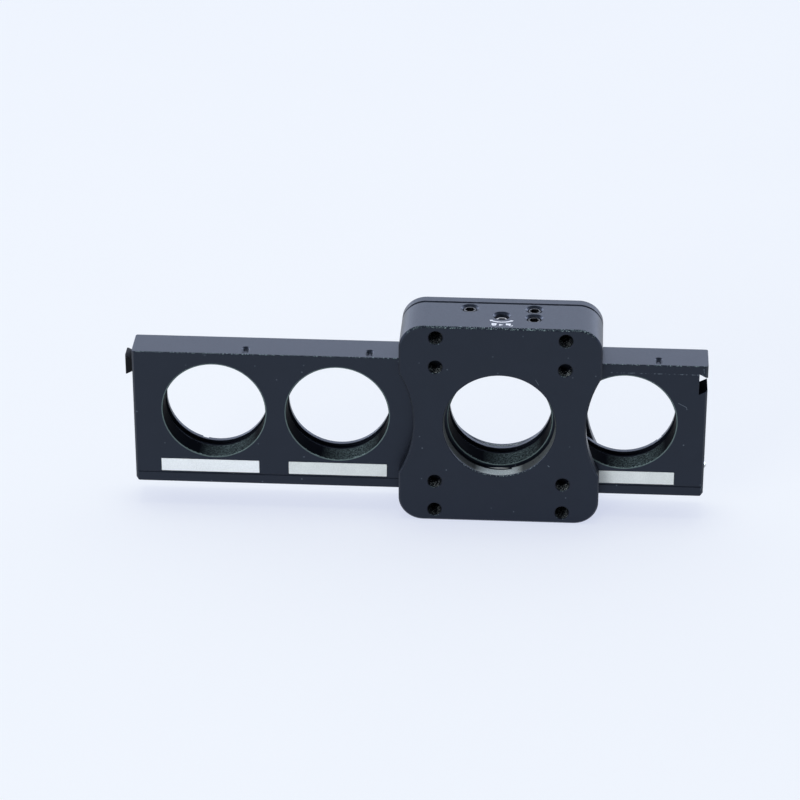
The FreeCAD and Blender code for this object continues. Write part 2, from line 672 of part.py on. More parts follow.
def make_guides():
    """The two guide screws in the rear row and the pads in their tips."""
    screws = []
    pads = []
    head = f"({HALF_HEIGHT} - dims.guide_recess)"
    length = f"({head} - {MODULE_TOP} - dims.guide_stand)"
    seat = f"({head} - {length} + dims.pad_depth)"
    for number, across in enumerate(both_signs("dims.guide_offset"), start=1):
        screw = make_set_screw(f"guide_screw_{number}", length)
        screws.append(place(screw, across, GUIDE_DEPTH, head))
        pad = make_pad(f"guide_pad_{number}", f"({seat} - {MODULE_TOP} - dims.pad_gap)")
        pads.append(place(pad, across, GUIDE_DEPTH, seat))
    return [group("guide_screws", screws), group("guide_pads", pads)]


def make_lock():
    head = f"({HALF_HEIGHT} - dims.lock_recess)"
    length = f"({head} - {MODULE_TOP} - dims.lock_stand)"
    seat = f"({head} - {length} + dims.pad_depth)"
    screw = place(make_set_screw("lock_screw", length), "0", LOCK_DEPTH, head)
    pad = make_pad("lock_pad", f"({seat} - {MODULE_TOP} - dims.lock_lift)")
    return [screw, place(pad, "0", LOCK_DEPTH, seat)]


def make_detent():
    axis = ("dims.detent_offset", PLUNGER_DEPTH)
    ball_top = f"({BALL_CENTRE} + dims.ball_radius)"
    length = f"({HALF_HEIGHT} - dims.plunger_recess - {SLEEVE_MOUTH})"
    bore_depth = f"({length} - dims.hex_depth - dims.sleeve_web)"
    sleeve = make_sleeve("detent_sleeve", SCREW_CORE, length, bore_depth, "dims.hex_flat")
    ball = make_ball("detent_ball")
    spring = make_spring("detent_spring", f"({SLEEVE_MOUTH} + {bore_depth} - {ball_top})")
    return [place(sleeve, *axis, SLEEVE_MOUTH), place(ball, *axis, BALL_CENTRE),
            place(spring, *axis, ball_top)]


def make_chain_link(side, centre):
    """One module with its tongue, tongue screw and ball catch, at its place along the slider."""
    module = place(make_module(f"module_{side}"), centre, MODULE_FRONT)
    left_end = f"({centre} - {HALF_MODULE})"
    middle = f"({MODULE_FRONT} + {MODULE_MIDDLE})"
    tongue = make_tongue(f"link_tongue_{side}")
    place(tongue, left_end, f"{MODULE_FRONT} + {TONGUE_SETBACK}", LINK_HEIGHT)
    screw = make_flat_head_screw(f"link_screw_{side}", LINK_CORE, "dims.link_head_radius",
                                 "dims.link_screw_length", "dims.link_hex_flat",
                                 "dims.link_hex_depth")
    to_the_right = FreeCAD.Rotation(FreeCAD.Vector(0, 1, 0), -90)
    place(screw, f"{left_end} - {TONGUE_REACH} + dims.head_inset", middle, LINK_HEIGHT,
          to_the_right)
    ball_centre = f"({centre} + {CATCH_CENTRE})"
    mouth = f"({centre} + {HALF_MODULE})"
    bore_depth = "(dims.catch_sleeve_length - dims.sleeve_web)"
    spring_room = f"({bore_depth} - {HALF_MODULE} + {CATCH_CENTRE} - dims.ball_radius)"
    to_the_left = FreeCAD.Rotation(FreeCAD.Vector(0, 1, 0), -90)
    sleeve = make_sleeve(f"catch_sleeve_{side}", "dims.catch_sleeve_radius",
                         "dims.catch_sleeve_length", bore_depth)
    place(sleeve, mouth, middle, CATCH_HEIGHT, to_the_left)
    ball = place(make_ball(f"catch_ball_{side}"), ball_centre, middle, CATCH_HEIGHT)
    spring = make_spring(f"catch_spring_{side}", spring_room)
    place(spring, f"{ball_centre} - dims.ball_radius", middle, CATCH_HEIGHT, to_the_left)
    return [module, tongue, screw, sleeve, ball, spring]


def make_rings_and_labels():
    """One ring and one label for each filter hole, numbered from the left."""
    ring_turns = (-75, 20, 70, 45)
    label_shifts = ("-1.2", "0", "0.1", "0.45")
    ring_depth = (f"({MODULE_FRONT} + dims.module_thickness - dims.ring_inset"
                  " - dims.ring_thickness)")
    centres = [f"({place_along} {sign} {HALF_PITCH})"
               for place_along in (LEFT_PLACE, RIGHT_PLACE) for sign in ("-", "+")]
    pieces = []
    for number, centre in enumerate(centres, start=1):
        turn = FreeCAD.Rotation(FreeCAD.Vector(0, 1, 0), ring_turns[number - 1])
        pieces.append(place(make_ring(f"retaining_ring_{number}"), centre, ring_depth, "0", turn))
        shifted = f"{centre} + ({label_shifts[number - 1]})"
        label = make_label(f"label_{number}")
        pieces.append(place(label, shifted, MODULE_FRONT, f"-({CLEAR_RADIUS} + dims.label_gap)"))
    return pieces


def check_document():
    """Stop before anything is written if a feature failed or a shape is broken."""
    for item in doc.Objects:
        if {"Invalid", "Error"} & set(item.State):
            raise RuntimeError(f"{item.Name} failed: {item.State}")


def write_parts(pieces):
    os.makedirs("parts", exist_ok=True)
    for piece in pieces:
        shape = piece.Shape
        if shape.isNull() or not shape.isValid() or shape.Volume <= 0:
            raise RuntimeError(f"{piece.Label} has no sound solid")
        shape.exportStep(os.path.join("parts", f"{piece.Label}.step"))
        box = shape.BoundBox
        print(f"{piece.Label:20s} solids {len(shape.Solids)} volume {shape.Volume:9.2f}"
              f" x {box.XMin:8.2f} {box.XMax:8.2f} y {box.YMin:6.2f} {box.YMax:6.2f}"
              f" z {box.ZMin:7.2f} {box.ZMax:7.2f}")


pieces = [make_housing(), make_cover(), make_cover_screws()]
pieces += make_guides() + make_lock() + make_detent()
pieces += make_chain_link("left", LEFT_PLACE) + make_chain_link("right", RIGHT_PLACE)
pieces += make_rings_and_labels()
doc.recompute()
check_document()
write_parts(pieces)
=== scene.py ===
import json
import math

import bmesh
import bpy
from mathutils import Matrix, Vector


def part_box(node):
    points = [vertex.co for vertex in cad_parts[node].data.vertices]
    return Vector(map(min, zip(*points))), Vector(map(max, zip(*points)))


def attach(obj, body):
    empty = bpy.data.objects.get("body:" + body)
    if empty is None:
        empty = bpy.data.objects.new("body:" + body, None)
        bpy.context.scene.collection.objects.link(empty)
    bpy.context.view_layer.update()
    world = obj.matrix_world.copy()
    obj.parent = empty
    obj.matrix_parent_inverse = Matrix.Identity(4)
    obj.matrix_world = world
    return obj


bl_info = {
    "name": "Cage Filter Mount",
    "version": (1, 0, 0),
    "blender": (4, 5, 0),
    "location": "3D View > Sidebar > Filter Mount",
    "description": "Finishes, threads, printed mark and studio of a sliding filter mount",
    "category": "Object",
}

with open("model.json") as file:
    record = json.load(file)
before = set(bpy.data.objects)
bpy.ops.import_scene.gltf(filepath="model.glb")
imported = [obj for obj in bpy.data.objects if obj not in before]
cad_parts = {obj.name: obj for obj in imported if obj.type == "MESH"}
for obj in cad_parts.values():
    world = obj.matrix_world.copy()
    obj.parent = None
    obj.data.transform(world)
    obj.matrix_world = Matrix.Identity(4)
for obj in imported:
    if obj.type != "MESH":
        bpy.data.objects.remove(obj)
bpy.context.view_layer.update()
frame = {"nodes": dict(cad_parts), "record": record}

MM = 0.001
MOUNTS = {mount["name"]: mount for mount in frame["record"]["mounts"]}
HOUSING_LOW, HOUSING_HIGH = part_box("housing_body")
COVER_LOW, COVER_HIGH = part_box("rear_cover")
MODULE_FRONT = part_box("module_left")[0].y
FILTER_RIM = 12.35 * MM  # just over the radius of a module's front bore with its lead-in
STROKE_CORE = 0.4  # share of a scratch's half width that is fully marked
LABELS = [f"label_{number}" for number in range(1, 5)]
RINGS = [f"retaining_ring_{number}" for number in range(1, 5)]


def linear(colour):
    """The linear values of an sRGB hex colour."""
    parts = [int(colour[start:start + 2], 16) / 255 for start in (1, 3, 5)]
    return tuple(part / 12.92 if part <= 0.04045 else ((part + 0.055) / 1.055) ** 2.4
                 for part in parts)


def colour_property(name, description, colour):
    return bpy.props.FloatVectorProperty(name=name, description=description, subtype="COLOR",
                                         size=3, min=0, max=1, default=linear(colour))


def length_property(name, description, millimetres):
    return bpy.props.FloatProperty(name=name, description=description, unit="LENGTH",
                                   precision=5, min=0, default=millimetres * MM)


class MountFinishes(bpy.types.PropertyGroup):
    """Colours and grains of the mount's surfaces."""
    dye: colour_property("Dye", "Black dye in the anodised surface", "#070A10")
    seal: colour_property("Seal", "Tint of the sealed surface's shine", "#CFE0FF")
    # Also laid as a painted highlight on the bores' upward faces and front rims.
    worn: colour_property("Worn spots", "Grey-green spots where the dye is thin", "#869A98")
    # Painted highlight: this bare thread colour shows only where cut_aluminium paints the lowest,
    # lit part of each hole.
    cut: colour_property("Cut threads", "Thread flanks, nearly bare and sparkling", "#E4EEEA")
    # Painted highlight: this bright colour is laid only on the lock screw's upward top face.
    zinc_and_highlight: colour_property("Zinc", "Bright plated face of the lock screw", "#FBFBFA")
    dust: colour_property("Dust", "Dust specks and hair scratches", "#6C7780")
    label: colour_property("Label", "Pale write-on strip", "#E6EBE6")
    # Painted light: the leftmost strip is a lighter copy of the label colour, as more light falls
    # on it from the left front.
    lit_label: colour_property("New label", "The leftmost strip, cleaner than the rest", "#F8FCFA")
    print_white: colour_property("Print", "White printed mark", "#F2F4F6")
    oxide: colour_property("Black oxide", "Blackened steel screws", "#101114")
    steel: colour_property("Steel", "Bare steel", "#C6C8C9")
    brass: colour_property("Brass", "Turned brass sleeves", "#C9A860")
    nylon: colour_property("Nylon", "Natural nylon pads", "#E4DFD2")
    round: length_property("Edge rounding", "Rounding of the blasted edges", 0.2)
    blast: length_property("Blast grain", "Pit size of the blasted surface", 0.12)
    chip: length_property("Chips", "Length of the worn spots on the edges", 0.26)
    dust_spacing: length_property("Dust spacing", "Mean distance between dust specks", 5.6)


class MountThreads(bpy.types.PropertyGroup):
    """Sizes of the cut threads."""
    tube_pitch: length_property("Tube pitch", "40 turns per inch", 0.635)
    tube_height: length_property("Tube ridge", "Height of a tube thread's ridge", 0.22)
    hole_pitch: length_property("Hole pitch", "Pitch of the tapped holes", 0.7)
    hole_height: length_property("Hole ridge", "Height of a tapped hole's ridge", 0.16)
    run_out: length_property("Run-out", "Bare length at the ends of a thread", 0.12)


class MountMark(bpy.types.PropertyGroup):
    """Sizes of the printed mark beside the lock screw."""
    arc_radius: length_property("Arc radius", "Middle of the turning arrow's arc", 4.1)
    arc_place: length_property("Arc place", "Arc's lowest point behind the front face", 3.3)
    arc_line: length_property("Arc line", "Width of the arc's band", 0.4)
    line: length_property("Line", "Width of a padlock's shackle", 0.24)
    lock_width: length_property("Padlock width", "Body of a padlock sign", 1.15)
    lock_apart: length_property("Padlock distance", "Each padlock sign from the screw's axis", 1.65)
    lock_place: length_property("Padlock place", "Signs' middle behind the front face", 1.85)
    thickness: length_property("Ink", "Thickness of the print", 0.012)


class MountStage(bpy.types.PropertyGroup):
    """Floor, light and camera."""
    floor: colour_property("Floor", "Paper of the seamless floor, without its glow", "#9E9B7F")
    glow: colour_property("Glow", "Light that comes through the floor from below", "#C8CEE3")
    tent: colour_property("Tent", "Colour of the light tent", "#E6EEFF")
    tent_front: bpy.props.FloatProperty(
        name="Front", description="Brightness of the tent above the camera", default=0.22, min=0)
    tent_back: bpy.props.FloatProperty(
        name="Back", description="Brightness of the tent low behind the object", default=1.0, min=0)
    lens: bpy.props.FloatProperty(
        name="Lens", description="Focal length of the camera", unit="CAMERA", default=150.3)


def add_node(tree, kind, inputs=None, **settings):
    """Add a node with its settings; its inputs are values or other nodes' outputs."""
    node = tree.nodes.new(f"ShaderNode{kind}")
    for name, value in settings.items():
        setattr(node, name, value)
    for socket, value in (inputs or {}).items():
        if isinstance(value, bpy.types.NodeSocket):
            tree.links.new(value, node.inputs[socket])
        else:
            node.inputs[socket].default_value = value
    return node


def new_material(name):
    """An empty material with its shader and its output."""
    material = bpy.data.materials.new(name)
    material.use_nodes = True
    tree = material.node_tree
    tree.nodes.clear()
    shader = add_node(tree, "BsdfPrincipled")
    add_node(tree, "OutputMaterial", {"Surface": shader.outputs["BSDF"]})
    return material, tree, shader


def per_length(length):
    """A pattern's scale for features of a length given in metres."""
    return 1 / length


def grain(tree, place, length, detail=2.0):
    """The value of a noise whose grains have a real length."""
    noise = add_node(tree, "TexNoise", {"Vector": place, "Scale": per_length(length),
                                        "Detail": detail})
    return noise.outputs["Fac"]


def rises(tree, value, start, end, low=0.0, high=1.0):
    """A value turned from low to high between two limits."""
    ramp = add_node(tree, "MapRange", {"Value": value, "From Min": start, "From Max": end,
                                       "To Min": low, "To Max": high})
    return ramp.outputs["Result"]


def times(tree, first, second):
    return add_node(tree, "Math", {0: first, 1: second}, operation="MULTIPLY").outputs[0]


def most(tree, first, second):
    return add_node(tree, "Math", {0: first, 1: second}, operation="MAXIMUM").outputs[0]


def blend_colours(tree, amount, first, second):
    """Mix two colours, given as linear triples or outputs. Of the Mix node's sockets, 6 and 7 are
    the colours that go in and 2 is the one that comes out."""
    mixed = add_node(tree, "Mix", {0: amount}, data_type="RGBA")
    for socket, colour in ((mixed.inputs[6], first), (mixed.inputs[7], second)):
        if isinstance(colour, bpy.types.NodeSocket):
            tree.links.new(colour, socket)
        else:
            socket.default_value = (*colour, 1)
    return mixed.outputs[2]


def along(tree, vector, direction):
    """How far a vector points along a direction."""
    dot = add_node(tree, "VectorMath", {0: vector, 1: direction}, operation="DOT_PRODUCT")
    return dot.outputs["Value"]


def stroke(tree, place, start, end, half_width):
    """A mask along a straight stroke between two points in millimetres."""
    start = Vector(start) * MM
    course = Vector(end) * MM - start
    offset = add_node(tree, "VectorMath", {0: place, 1: tuple(start)}, operation="SUBTRACT")
    share = add_node(tree, "VectorMath", {0: offset.outputs[0], 1: tuple(course)},
                     operation="DOT_PRODUCT")
    held = rises(tree, share.outputs["Value"], 0, course.length_squared)
    reach = add_node(tree, "VectorMath", {0: tuple(course), "Scale": held}, operation="SCALE")
    apart = add_node(tree, "VectorMath", {0: offset.outputs[0], 1: reach.outputs[0]},
                     operation="DISTANCE")
    edge = half_width * MM
    return rises(tree, apart.outputs["Value"], edge * STROKE_CORE, edge, 1, 0)


def dust_specks(tree, place, spacing, share=0.35):
    """Small round specks on the front faces, one in some of the cells of a loose grid. Real dust is
    finer than the render shows, so a speck is drawn 0.03 of the spacing in radius."""
    flat = add_node(tree, "CombineXYZ", {"X": along(tree, place, (1, 0, 0)),
                                         "Y": along(tree, place, (0, 0, 1))})
    cells = add_node(tree, "TexVoronoi", {"Vector": flat.outputs[0], "Scale": per_length(spacing)},
                     voronoi_dimensions="2D")
    near = rises(tree, cells.outputs["Distance"], 0.02, 0.04, 1, 0)
    chance = add_node(tree, "SeparateColor", {"Color": cells.outputs["Color"]})
    near = times(tree, near, rises(tree, chance.outputs["Green"], 0, 1, 0.2, 0.8))
    return times(tree, near, rises(tree, chance.outputs["Red"], 1 - share, 1 - share + 0.01))


def worn_edge(tree, place, normal, front, chip):
    """Specks on the upper front bevels, where the dye has worn off in tiny chips. The bevels are
    the faces that look half forward and half up, close behind the front."""
    forward = along(tree, normal, (0, -1, 0))
    bevel = times(tree, rises(tree, forward, 0.5, 0.6), rises(tree, forward, 0.8, 0.9, 1, 0))
    upward = rises(tree, along(tree, normal, (0, 0, 1)), 0.45, 0.6)
    at_front = rises(tree, along(tree, place, (0, 1, 0)), front + 0.5 * MM, front + 0.6 * MM, 1, 0)
    chips = rises(tree, grain(tree, place, chip, 4), 0.55, 0.6)
    return times(tree, times(tree, bevel, upward), times(tree, at_front, chips))


def in_bores(tree, place, bores, radius):
    """A mask inside two filter holes of a module, given by their middles."""
    middle = (bores[0] + bores[1]) / 2
    half_pitch = abs(bores[1] - bores[0]) / 2
    shifted = add_node(tree, "Math", {0: along(tree, place, (1, 0, 0)), 1: middle},
                       operation="SUBTRACT").outputs[0]
    folded = add_node(tree, "Math", {0: shifted}, operation="ABSOLUTE").outputs[0]
    across = add_node(tree, "Math", {0: folded, 1: half_pitch}, operation="SUBTRACT").outputs[0]
    apart = add_node(tree, "CombineXYZ", {"X": across, "Z": along(tree, place, (0, 0, 1))})
    reach = add_node(tree, "VectorMath", {0: apart.outputs[0]}, operation="LENGTH")
    return rises(tree, reach.outputs["Value"], radius, radius + 0.05 * MM, 1, 0)


def in_box(tree, place, low, high):
    """A mask inside a box given by two corners, with soft sides."""
    inside = 1.0
    for direction, start, end in zip(Matrix.Identity(3), low, high):
        reach = along(tree, place, tuple(direction))
        inside = times(tree, inside, rises(tree, reach, start, start + 0.02 * MM))
        inside = times(tree, inside, rises(tree, reach, end - 0.02 * MM, end, 1, 0))
    return inside


def anodised_aluminium(name, front, scratches=(), rubs=(), bores=(), shade_and_seam_boxes=()):
    """Aluminium, blasted and anodised black: a satin surface with fine pits, thin dye that shows as
    grey-green specks on the edges, and a little dust. In the bores the same grey-green is painted
    as a highlight on the upward faces and the front rim, and bores and link notch get hardly any
    gloss as painted shade. Real blast pits are finer than the render shows, so they are drawn as
    coarse as the blast grain says."""
    look = bpy.context.scene.mount_finishes
    material, tree, shader = new_material(name)
    coordinates = add_node(tree, "TexCoord")
    place = coordinates.outputs["Object"]
    normal = coordinates.outputs["Normal"]
    worn = times(tree, worn_edge(tree, place, normal, front, look.chip), 0.95)
    facing = rises(tree, along(tree, normal, (0, -1, 0)), 0.97, 0.99)
    marks = times(tree, dust_specks(tree, place, look.dust_spacing), facing)
    for start, end, half_width in scratches:
        marks = most(tree, marks, stroke(tree, place, start, end, half_width))
    broken = rises(tree, grain(tree, place, 0.5 * MM, 3), 0.5, 0.58)
    for start, end, half_width in rubs:
        marks = most(tree, marks, times(tree, stroke(tree, place, start, end, half_width), broken))
    cloudy = rises(tree, grain(tree, place, 6 * MM), 0.3, 0.7, 0.8, 1.2)
    dye = add_node(tree, "VectorMath", {0: tuple(look.dye), "Scale": cloudy}, operation="SCALE")
    roughness = rises(tree, grain(tree, place, 0.3 * MM), 0.3, 0.7, 0.34, 0.42)
    dark = 0.0
    if bores:
        inside = in_bores(tree, place, bores, FILTER_RIM)
        # Painted highlight: worn colour mottled over the bores' upward faces, a little right of the
        # bottom, where reflected light falls.
        wall = rises(tree, along(tree, normal, (-0.3, 0, 0.954)), 0.8, 1.0)
        mottle = rises(tree, grain(tree, place, 0.4 * MM, 4), 0.4, 0.7, 0.12, 1)
        depth = along(tree, place, (0, 1, 0))
        # Painted highlight: a thin line of worn colour along the front rim of each bore, where its
        # lead-in catches the light.
        rim_highlight = rises(tree, depth, front + 0.1 * MM, front + 0.15 * MM, 0.5, 0)
        bore_highlight = most(tree, times(tree, times(tree, wall, mottle), 0.6), rim_highlight)
        # From here the worn mask carries both the edge wear and the painted highlights in the
        # bores.
        worn = most(tree, worn, times(tree, inside, bore_highlight))
        # Painted shade: the bores are marked for the dull gloss below.
        dark = inside
    # The notch box is painted shade; the seam box is the dark joint between housing and cover.
    for low, high in shade_and_seam_boxes:
        sideways = rises(tree, along(tree, normal, (0, -1, 0)), 0.5, 0.6, 1, 0)
        box = times(tree, sideways, in_box(tree, place, low, high))
        dark = most(tree, dark, box)
    if bores or shade_and_seam_boxes:
        # Painted shade: bores and the link notch get hardly any gloss, so that they render dark as
        # shade in them; the seam, a dark joint, gets the same; elsewhere the gloss has the usual
        # level.
        tree.links.new(rises(tree, dark, 0, 1, 0.5, 0.001), shader.inputs["Specular IOR Level"])
    # The worn colour goes on the edge chips and on the painted highlights in the bores.
    colour = blend_colours(tree, worn, dye.outputs[0], tuple(look.worn))
    colour = blend_colours(tree, times(tree, marks, 0.6), colour, tuple(look.dust))
    tree.links.new(colour, shader.inputs["Base Color"])
    tree.links.new(roughness, shader.inputs["Roughness"])
    shader.inputs["Specular Tint"].default_value = (*look.seal, 1)
    rounded = add_node(tree, "Bevel", {"Radius": look.round}, samples=4)
    pits = add_node(tree, "Bump", {"Height": grain(tree, place, look.blast), "Strength": 0.5,
                                   "Distance": 0.008 * MM, "Normal": rounded.outputs["Normal"]})
    tree.links.new(pits.outputs["Normal"], shader.inputs["Normal"])
    return material


def cut_aluminium(name, bare, black, lowest, spacing, lit):
    """Anodised aluminium left as cut by the tool: partly black, with mottled and nearly bare flanks
    that are painted only over the lowest part of each hole, where light falls, as a painted
    highlight. The holes' lowest points lie a spacing apart, and the tool marks are drawn coarser
    than the real ones, which the render can't show."""
    look = bpy.context.scene.mount_finishes
    material, tree, shader = new_material(name)
    place = add_node(tree, "TexCoord").outputs["Object"]
    height = add_node(tree, "Math", {0: along(tree, place, (0, 0, 1)), 1: lowest},
                      operation="SUBTRACT").outputs[0]
    height = add_node(tree, "Math", {0: height, 1: spacing}, operation="FLOORED_MODULO").outputs[0]
    # Painted highlight: the bare cut colour and its metallic share are laid only over the lowest,
    # lit part of each hole, fading out above it.
    low = rises(tree, height, lit * 0.3, lit, bare, bare * 0.12)
    mottle = rises(tree, grain(tree, place, 0.3 * MM, 4), black, black + 0.2)
    share = times(tree, mottle, low)
    tree.links.new(blend_colours(tree, share, tuple(look.dye), tuple(look.cut)),
                   shader.inputs["Base Color"])
    tree.links.new(rises(tree, mottle, 0, 1, 0.38, 0.26), shader.inputs["Roughness"])
    tree.links.new(times(tree, share, 0.6), shader.inputs["Metallic"])
    shader.inputs["Specular IOR Level"].default_value = 0.2
    pits = add_node(tree, "Bump", {"Height": grain(tree, place, 0.2 * MM), "Strength": 0.6,
                                   "Distance": 0.02 * MM})
    tree.links.new(pits.outputs["Normal"], shader.inputs["Normal"])
    return material


def black_oxide_steel(name, bare=0.12, metallic=0.2, shine=0.5):
    """Steel blackened in a hot bath: dark, slightly oily metal with rubbed spots."""
    look = bpy.context.scene.mount_finishes
    material, tree, shader = new_material(name)
    place = add_node(tree, "TexCoord").outputs["Object"]
    rubbed = rises(tree, grain(tree, place, 0.2 * MM), 0.55, 0.7)
    colour = blend_colours(tree, times(tree, rubbed, bare), tuple(look.oxide), tuple(look.steel))
    tree.links.new(colour, shader.inputs["Base Color"])
    shader.inputs["Metallic"].default_value = metallic
    shader.inputs["Specular IOR Level"].default_value = shine
    tree.links.new(rises(tree, rubbed, 0, 1, 0.34, 0.24), shader.inputs["Roughness"])
    pits = add_node(tree, "Bump", {"Height": grain(tree, place, 0.1 * MM), "Strength": 0.3,
                                   "Distance": 0.01 * MM})
    tree.links.new(pits.outputs["Normal"], shader.inputs["Normal"])
    return material


def turned_metal(name, colour, roughness):
    """Bare metal from the lathe: bright, with fine tool marks and a little smear."""
    material, tree, shader = new_material(name)
    place = add_node(tree, "TexCoord").outputs["Object"]
    smear = rises(tree, grain(tree, place, 0.6 * MM), 0.3, 0.7, 0.8, 1.0)
    tint = add_node(tree, "VectorMath", {0: tuple(colour), "Scale": smear}, operation="SCALE")
    tree.links.new(tint.outputs[0], shader.inputs["Base Color"])
    shader.inputs["Metallic"].default_value = 1
    worked = rises(tree, grain(tree, place, 0.15 * MM), 0.3, 0.7, roughness * 0.8, roughness * 1.25)
    tree.links.new(worked, shader.inputs["Roughness"])
    return material


def screw_with_painted_light(name, top):
    """A plated screw painted as lit and shaded: bright on the upward top face that the wrench
    meets, partly plating and partly painted highlight, and dark oxide inside its socket and below
    the top as painted shade.
    """
    look = bpy.context.scene.mount_finishes
    material, tree, shader = new_material(name)
    coordinates = add_node(tree, "TexCoord")
    place = coordinates.outputs["Object"]
    upward = rises(tree, along(tree, coordinates.outputs["Normal"], (0, 0, 1)), 0.4, 0.6)
    high = rises(tree, along(tree, place, (0, 0, 1)), top - 0.4 * MM, top - 0.3 * MM)
    # Painted highlight on the upward top face; everything else gets the dark colour as painted
    # shade.
    face = times(tree, times(tree, upward, high),
                 rises(tree, grain(tree, place, 0.3 * MM), 0.3, 0.7, 0.94, 1.0))
    colour = blend_colours(tree, face, tuple(look.oxide), tuple(look.zinc_and_highlight))
    tree.links.new(colour, shader.inputs["Base Color"])
    tree.links.new(rises(tree, face, 0, 1, 0.3, 0.45), shader.inputs["Roughness"])
    return material


def moulded_nylon(name):
    """Natural nylon, turned from rod: milky and slightly waxy."""
    look = bpy.context.scene.mount_finishes
    material, tree, shader = new_material(name)
    place = add_node(tree, "TexCoord").outputs["Object"]
    milky = rises(tree, grain(tree, place, 0.8 * MM), 0.3, 0.7, 0.9, 1.0)
    tint = add_node(tree, "VectorMath", {0: tuple(look.nylon), "Scale": milky}, operation="SCALE")
    tree.links.new(tint.outputs[0], shader.inputs["Base Color"])
    tree.links.new(rises(tree, milky, 0.9, 1.0, 0.5, 0.42), shader.inputs["Roughness"])
    return material


def label_film(name, colour):
    """Matt write-on film: pale, with a fine grain."""
    material, tree, shader = new_material(name)
    place = add_node(tree, "TexCoord").outputs["Object"]
    fine = rises(tree, grain(tree, place, 0.25 * MM, 3), 0.35, 0.65, 0.9, 1.02)
    wide = rises(tree, grain(tree, place, 5 * MM), 0.3, 0.7, 0.95, 1.03)
    shade = times(tree, fine, wide)
    tint = add_node(tree, "VectorMath", {0: tuple(colour), "Scale": shade}, operation="SCALE")
    tree.links.new(tint.outputs[0], shader.inputs["Base Color"])
    tree.links.new(rises(tree, fine, 0.9, 1.02, 0.62, 0.5), shader.inputs["Roughness"])
    pits = add_node(tree, "Bump", {"Height": fine, "Strength": 0.25, "Distance": 0.01 * MM})
    tree.links.new(pits.outputs["Normal"], shader.inputs["Normal"])
    return material


def printed_ink(name):
    """White screen print: matt, with thin spots where the ink is worn."""
    look = bpy.context.scene.mount_finishes
    material, tree, shader = new_material(name)
    place = add_node(tree, "TexCoord").outputs["Object"]
    thin = rises(tree, grain(tree, place, 0.12 * MM), 0.58, 0.72)
    colour = blend_colours(tree, times(tree, thin, 0.45), tuple(look.print_white), tuple(look.dye))
    tree.links.new(colour, shader.inputs["Base Color"])
    tree.links.new(rises(tree, thin, 0, 1, 0.55, 0.45), shader.inputs["Roughness"])
    return material


def paper_sweep(name):
    """Seamless paper on a light table: pale and bluish, with a barely visible tooth."""
    stage = bpy.context.scene.mount_stage
    material, tree, shader = new_material(name)
    place = add_node(tree, "TexCoord").outputs["Object"]
    tooth = rises(tree, grain(tree, place, 60 * MM), 0.3, 0.7, 0.985, 1.0)
    tint = add_node(tree, "VectorMath", {0: tuple(stage.floor), "Scale": tooth}, operation="SCALE")
    tree.links.new(tint.outputs[0], shader.inputs["Base Color"])
    shader.inputs["Emission Color"].default_value = (*stage.glow, 1)
    shader.inputs["Emission Strength"].default_value = 1
    shader.inputs["Roughness"].default_value = 0.9
    shader.inputs["Specular IOR Level"].default_value = 0.1
    return material


def finish_object(name, mesh, material, body):
    """Make an object of a finished bmesh, give it its finish and let it ride on its body."""
    data = bpy.data.meshes.new(name)
    bmesh.ops.recalc_face_normals(mesh, faces=mesh.faces)
    mesh.to_mesh(data)
    mesh.free()
    data.materials.append(material)
    piece = bpy.data.objects.new(name, data)
    bpy.context.scene.collection.objects.link(piece)
    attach(piece, body)
    return piece


def dress_nodes(names, material):
    """Give CAD nodes a finish in every material slot that they have."""
    for name in names:
        node = frame["nodes"][name]
        for slot in node.material_slots:
            slot.material = material


# The section of a thread's ridge: each corner's share of the height in from the bore's wall, and
# its share of the pitch past the ridge's start. The foot is sunk a little into the wall.
RIDGE = ((-0.15, 0), (0.75, 0.34), (1, 0.44), (0.75, 0.54), (-0.15, 0.88))
RIDGE_START = 0.06


def add_helix(mesh, radius, height, pitch, start, end, middle, steps):
    """Add a thread's ridge about a line along +Y: its section swept round inside a bore's wall."""
    turns = (end - start) / pitch - 1
    base = start + pitch * RIDGE_START
    corners = [(middle.x + (radius - height * inward), base + pitch * onward, middle.z)
               for inward, onward in RIDGE]
    section = mesh.faces.new([mesh.verts.new(corner) for corner in corners])
    count = max(steps, round(steps * turns))
    bmesh.ops.spin(mesh, geom=[section], cent=(middle.x, 0, middle.z), axis=(0, 1, 0),
                   dvec=(0, pitch * turns / count, 0), angle=2 * math.pi * turns, steps=count,
                   use_duplicate=False)


def hole_middles(mount):
    """The middles of the four holes of a pattern, on its own face."""
    dims = mount["dims"]
    origin = Vector(mount["pos_m"])
    return [origin + Vector((side * dims["spacing_x_mm"], 0, level * dims["spacing_y_mm"])) * MM / 2
            for side in (-1, 1) for level in (-1, 1)]


def camera_turn(place, target):
    """The rotation that looks from a place at a target with the horizon level."""
    return (target - place).to_track_quat("-Z", "Y").to_euler()


